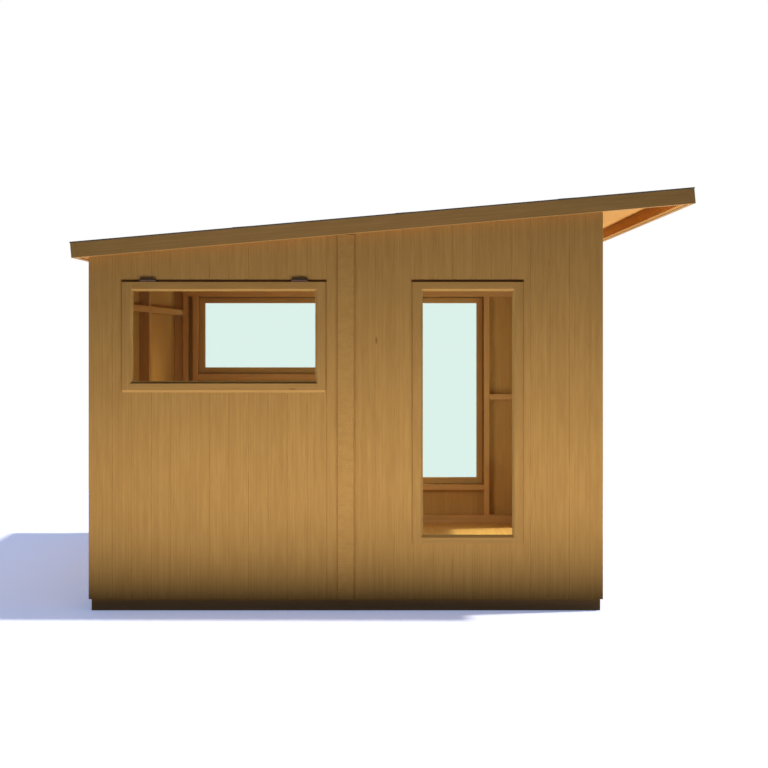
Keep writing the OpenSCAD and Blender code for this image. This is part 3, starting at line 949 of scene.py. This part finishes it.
def sleeves(bm, low, high):
    """The sleeves of a hinge along its pin, with rounded rims"""
    count, gap, rounding, bend = 5, 0.0009, 0.0004, math.radians(57)
    axis = (high - low).normalized()
    length = ((high - low).length - gap * (count - 1)) / count
    for k in range(count):
        middle = low + axis * (k * (length + gap) + length / 2)
        made = bmesh.ops.create_cone(
            bm, cap_ends=True, segments=28, radius1=SLEEVE, radius2=SLEEVE, depth=length,
            matrix=facing(middle, axis),
        )
        edges = once(e for v in made["verts"] for e in v.link_edges)
        rims = [e for e in edges if e.calc_face_angle(0) > bend]
        bmesh.ops.bevel(
            bm, geom=rims, offset=rounding, segments=2, profile=0.5, affect="EDGES", material=-1
        )


def window_hinge(bm, corners):
    """The sleeves of a window hinge, along its pin in the middle of the CAD knuckle"""
    low, high = box_of(corners)
    out = X if low.x > 0 else -X
    outermost = max(c.dot(out) for c in corners)
    rim = [c.z for c in corners if c.dot(out) > outermost - LEVEL]
    pin = Vector((outermost * out.x - KNUCKLE * out.x, 0, sum(rim) / len(rim)))
    sleeves(bm, pin + Y * low.y, pin + Y * high.y)


def door_hinge(bm, corners):
    """The sleeves of a door hinge, and three screws in each of its leaves"""
    beside, sunk, along_leaf = 0.015, 0.002, (0.14, 0.5, 0.86)
    low, high = box_of(corners)
    middle = (low + high) / 2
    pin = Vector((middle.x, low.y + KNUCKLE, 0))
    sleeves(bm, pin + Z * low.z, pin + Z * high.z)
    for side in (-1, 1):
        for k in along_leaf:
            at = Vector((middle.x + side * beside, high.y - sunk, low.z + (high.z - low.z) * k))
            screw_head(bm, at, -Y)


def handle_screws(bm, corners):
    """The two screws in the back plate of a lever handle"""
    plate, inset, outside = 0.006, 0.012, 0.01
    low, high = box_of(corners)
    out = -Y if low.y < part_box("right_door")[0].y - outside else Y
    face = min(c.dot(out) for c in corners) + plate
    wide = [c.x for c in corners if c.z > high.z - CLOSE]
    middle = (min(wide) + max(wide)) / 2
    for z in (low.z + inset, high.z - inset):
        screw_head(bm, Vector((middle, face * out.y, z)), out)


class SUMMERHOUSE_OT_ironmongery(bpy.types.Operator):
    """Fits the hinges, the door handle and their screws"""

    bl_idname = "summerhouse.ironmongery"
    bl_label = "Ironmongery"

    def execute(self, context):
        fittings = bmesh.new()
        for source, fit in (
            ("window_hinges", window_hinge), ("door_hinges", door_hinge), ("door_handle", handle_screws),
        ):
            for corners in solids_of(source):
                fit(fittings, corners)
        piece("hinge_knuckles_and_screws", fittings, "brown_steel", "ironmongery")
        # The window hinges' upper leaves are let into the boards by this much at their tops
        let_in, rounding, bend = 0.007, 0.0005, 40
        for source in ("window_hinges", "door_hinges", "door_handle"):
            bm = cad_copy(source)
            if source == "window_hinges":
                keep_behind(bm, bm.faces, Z * (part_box(source)[1].z - let_in), Z)
            ease_edges(bm, rounding, bend)
            piece(source + "_steel", bm, "brown_steel", "ironmongery", source)
        return {"FINISHED"}


def seen_rays(tree):
    """1 for what is seen directly, in a reflection or through glass, and 0 for light on the object"""
    path = node(tree, "LightPath")
    rays = path.outputs["Is Camera Ray"]
    for name in ("Is Glossy Ray", "Is Transmission Ray"):
        either = node(tree, "Math", operation="MAXIMUM")
        tree.links.new(rays, either.inputs[0])
        tree.links.new(path.outputs[name], either.inputs[1])
        rays = either.outputs[0]
    return rays


def pale_floor():
    """The floor: white where it is seen, with a painted bluish glow in its shadows, dimmed by painted shade
    near the summerhouse
    """
    bm = bmesh.new()
    bmesh.ops.create_grid(bm, x_segments=1, y_segments=1, size=4.2)
    mesh = bpy.data.meshes.new("floor")
    bm.to_mesh(mesh)
    bm.free()
    material, tree, shader = new_material("pale_floor", 0.9, Specular_IOR_Level=0.0)
    shader.inputs["Base Color"].default_value = (0.83, 0.83, 0.83, 1)
    # A painted bluish glow is added where the floor is seen, and painted shade from ambient occlusion dims it
    # close to the summerhouse
    painted_sky_glow, deepest_painted_shade = (0.325, 0.395, 0.62), 0.42
    painted_shade_near = node(tree, "AmbientOcclusion", samples=8, Distance=1.2)
    glow = node(tree, "Emission", Strength=1.0)
    painted_shadow_colour = blended(tree, painted_shade_near.outputs["AO"], shade(painted_sky_glow, deepest_painted_shade), painted_sky_glow)
    tree.links.new(painted_shadow_colour, glow.inputs["Color"])
    pale = node(tree, "AddShader")
    tree.links.new(shader.outputs["BSDF"], pale.inputs[0])
    tree.links.new(glow.outputs["Emission"], pale.inputs[1])
    # What the floor throws back on the walls is dull, because lamps beside them stand for it
    dull = node(tree, "BsdfDiffuse")
    dull.inputs["Color"].default_value = (0.08, 0.09, 0.11, 1)
    surface_mix(tree, "Material Output", seen_rays(tree), dull.outputs["BSDF"], pale.outputs["Shader"])
    mesh.materials.append(material)
    linked("floor", mesh)


def studio_world(strength):
    """A weak bluish light from all round, and a white background"""
    world = bpy.data.worlds.new("studio")
    world.use_nodes = True
    bpy.context.scene.world = world
    tree = world.node_tree
    sky = tree.nodes["Background"]
    sky.inputs["Color"].default_value = (0.60, 0.72, 1.0, 1)
    sky.inputs["Strength"].default_value = strength
    white = node(tree, "Background", Strength=1.0)
    white.inputs["Color"].default_value = (1, 1, 1, 1)
    surface_mix(
        tree, "World Output", seen_rays(tree), sky.outputs["Background"], white.outputs["Background"]
    )


def aimed(name, light, towards):
    """A lamp's object, turned so that it shines in a direction"""
    lamp = linked(name, light)
    lamp.rotation_mode = "QUATERNION"
    lamp.rotation_quaternion = towards.to_track_quat("-Z", "Y")
    return lamp


def key_light(strength):
    """The key light, from high over the front and a little from the right"""
    sun = bpy.data.lights.new("key", "SUN")
    sun.energy = strength
    sun.angle = math.radians(2.0)
    sun.color = (1.0, 0.98, 0.95)
    aimed("key", sun, Vector((-0.082, 0.557, -1)))


def soft_lamps(studio):
    """Strips on the ground beside the walls, and two lamps inside for the light that the room throws back"""
    white, warm, wide = (1, 1, 1), (1.0, 0.86, 0.62), 176.5
    side, end, porch = (0.7, 4.8), (4.4, 0.7), (4.4, 1.0)
    across_room = Vector((1, -0.45, -0.40))
    to_rear = Y - Z * 0.1
    # Name, colour, place, size, direction, spread in degrees and radiance
    lamps = (
        ("fill_left", white, (-2.6, -0.4, 0.01), side, Z, wide, studio.fill),
        ("fill_right", white, (2.6, -0.4, 0.01), side, Z, wide, studio.fill),
        ("fill_rear", white, (0.0, 2.6, 0.01), end, Z, wide, studio.fill),
        ("fill_front", white, (0.0, -3.0, 0.01), porch, Z, wide, studio.fill * 0.8),
        ("room", white, (-1.2, 0.75, 1.15), (0.4, 1.0), across_room, 110, studio.room),
        ("bounce", warm, (0.5, 0.3, 1.1), (0.5, 0.8), to_rear, 70, studio.bounce),
    )
    for name, tint, place, size, towards, spread, radiance in lamps:
        soft = bpy.data.lights.new(name, "AREA")
        soft.color = tint
        soft.shape = "RECTANGLE"
        soft.size, soft.size_y = size
        soft.spread = math.radians(spread)
        soft.energy = math.pi * size[0] * size[1] * radiance
        lamp = aimed(name, soft, towards)
        lamp.location = place
        lamp.visible_camera = lamp.visible_glossy = lamp.visible_transmission = False


def side_camera(studio):
    """The camera, which looks square onto the left wall"""
    lens = bpy.data.cameras.new("camera")
    lens.lens = studio.lens
    lens.sensor_width = 36
    lens.shift_x, lens.shift_y = studio.shift_x, studio.shift_y
    lens.clip_start, lens.clip_end = 0.1, 200
    camera = linked("camera", lens)
    camera.location = (-studio.distance, studio.along, studio.eye)
    camera.rotation_euler = (math.radians(90), 0, math.radians(-90))
    bpy.context.scene.camera = camera


class SUMMERHOUSE_OT_stage(bpy.types.Operator):
    """Sets the floor, the light and the camera"""

    bl_idname = "summerhouse.stage"
    bl_label = "Stage"

    def execute(self, context):
        studio = context.scene.summerhouse_studio
        pale_floor()
        studio_world(studio.world)
        key_light(studio.sun)
        soft_lamps(studio)
        side_camera(studio)
        context.scene.view_settings.view_transform = "Standard"
        return {"FINISHED"}


class SUMMERHOUSE_PT_panel(bpy.types.Panel):
    """Lists the steps that build the summerhouse"""

    bl_label = "Summerhouse"
    bl_space_type = "VIEW_3D"
    bl_region_type = "UI"
    bl_category = "Summerhouse"

    def draw(self, context):
        for step in STEPS:
            self.layout.operator(step.bl_idname)


STEPS = (
    SUMMERHOUSE_OT_floor,
    SUMMERHOUSE_OT_framing,
    SUMMERHOUSE_OT_cladding,
    SUMMERHOUSE_OT_windows,
    SUMMERHOUSE_OT_doors,
    SUMMERHOUSE_OT_roof,
    SUMMERHOUSE_OT_ironmongery,
    SUMMERHOUSE_OT_stage,
)
GROUPS = {
    "summerhouse_sizes": SummerhouseSizes,
    "summerhouse_finishes": SummerhouseFinishes,
    "summerhouse_studio": SummerhouseStudio,
}


def register():
    """Registers the classes and gives the scene its settings"""
    for cls in (*GROUPS.values(), *STEPS, SUMMERHOUSE_PT_panel):
        bpy.utils.register_class(cls)
    for name, group in GROUPS.items():
        setattr(bpy.types.Scene, name, bpy.props.PointerProperty(type=group))


def unregister():
    """Takes the settings and the classes away again"""
    for name in GROUPS:
        delattr(bpy.types.Scene, name)
    for cls in (SUMMERHOUSE_PT_panel, *reversed(STEPS), *GROUPS.values()):
        bpy.utils.unregister_class(cls)


def main():
    """Builds the summerhouse and its stage"""
    register()
    for step in STEPS:
        group, name = step.bl_idname.split(".")
        getattr(getattr(bpy.ops, group), name)()


if __name__ == "__main__":
    main()
